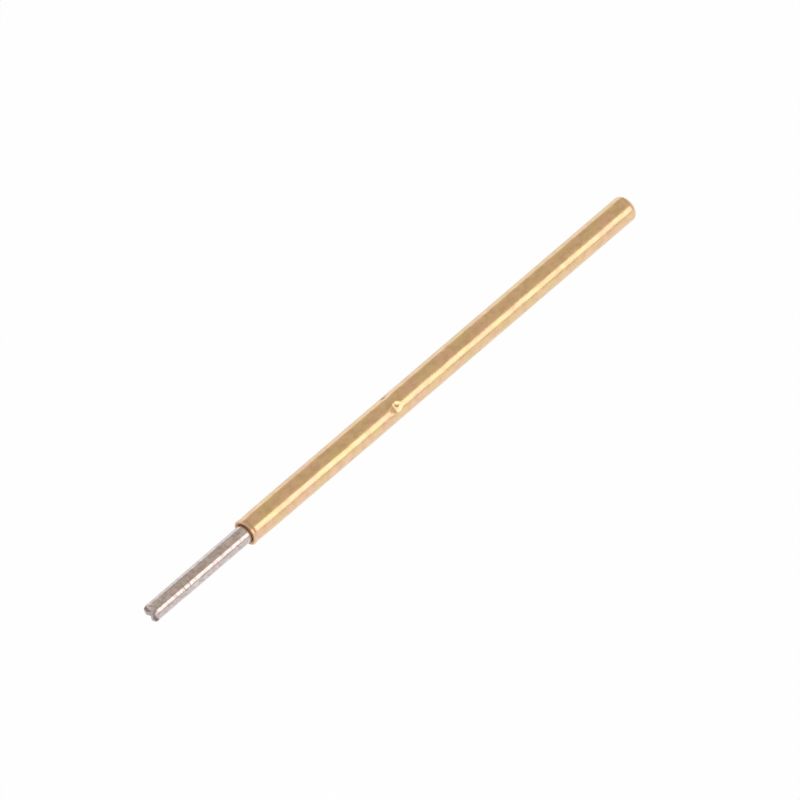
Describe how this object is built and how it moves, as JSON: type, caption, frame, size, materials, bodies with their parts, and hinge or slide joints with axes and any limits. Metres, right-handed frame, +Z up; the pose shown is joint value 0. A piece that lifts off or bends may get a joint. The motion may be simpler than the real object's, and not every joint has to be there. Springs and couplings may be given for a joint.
{
  "type": "pogo pin",
  "caption": "Spring-loaded contact pin for test fixtures: a slim closed barrel, crimped partway along, holds a sprung plunger with a crown tip.",
  "frame": {"origin": "on the pin's axis, at the mouth of the barrel", "axes": "+X runs along the pin from the contact tip to the closed tail, and +Z is up with the pin lying level"},
  "size_m": [0.0165, 0.0006, 0.0006],
  "materials": {
    "gold_plate": "satin gold plating over a drawn tube",
    "rhodium_plate": "bright plating with fine turning marks",
    "spring_wire": "bright drawn wire"
  },
  "bodies": {
    "barrel": {"barrel": "gold_plate"},
    "spring": {"spring": "spring_wire"},
    "plunger": {"plunger": "rhodium_plate"}
  },
  "joints": [
    {"name": "plunger_spin", "type": "hinge", "parent": "barrel", "child": "spring", "pos_m": [0, 0, 0], "axis": [1, 0, 0], "continuous": true},
    {"name": "plunger_slide", "type": "slide", "parent": "spring", "child": "plunger", "axis": [1, 0, 0], "range_m": [0, 0.00265], "stiffness_N_per_m": 330, "deforming": ["spring"]}
  ]
}
